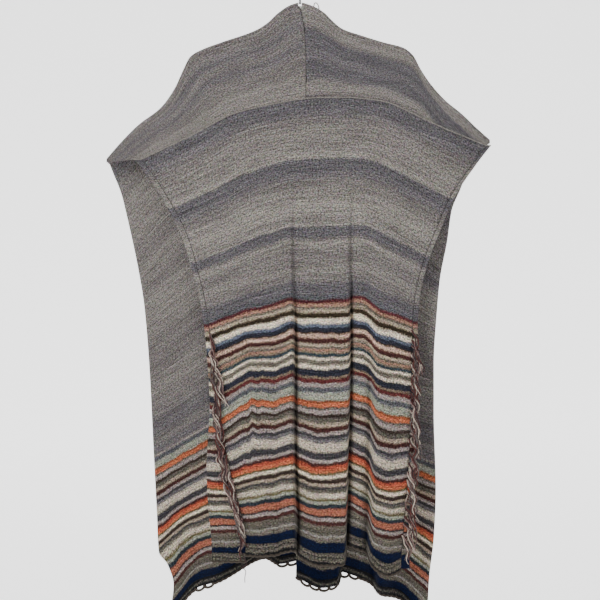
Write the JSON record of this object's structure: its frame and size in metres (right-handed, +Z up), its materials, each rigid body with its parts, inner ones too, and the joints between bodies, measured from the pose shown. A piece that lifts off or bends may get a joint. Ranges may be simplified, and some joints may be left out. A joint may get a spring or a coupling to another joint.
{
  "type": "poncho on a hanger",
  "caption": "Knitted sleeveless poncho, open down the front and sides, with a striped lower part, side fringe and looped hem, hung on a plain tubular hanger.",
  "frame": {"origin": "the seat of the hanger's hook, where it rests on a rail", "axes": "+Z up, +X to the right as the picture shows the poncho from behind, -Y towards the viewer of its back"},
  "size_m": [0.7465, 0.0699, 1.3031],
  "materials": {
    "striped_knit": "heathered wool knit with many-coloured stripes",
    "grey_knit": "heathered grey-brown wool knit, striped near the hem",
    "band_knit": "narrow knitted edge band",
    "edging_yarn": "crocheted dark grey-brown yarn",
    "fringe_yarn": "loose wool yarn ends",
    "hanger_plastic": "smooth moulded tube",
    "hook_wire": "bright plated wire"
  },
  "bodies": {
    "root": {"back_panel": "striped_knit", "front_left_panel": "grey_knit", "front_right_panel": "grey_knit", "back_band_left": "band_knit", "back_band_right": "band_knit", "hem_edging_back": "edging_yarn", "hem_edging_band": "edging_yarn", "hem_edging_front_left": "edging_yarn", "hem_edging_front_right": "edging_yarn", "fringe_left": "fringe_yarn", "fringe_right": "fringe_yarn", "neck_loop": "edging_yarn", "hanger_frame": "hanger_plastic", "hanger_hook": "hook_wire"}
  },
  "joints": []
}
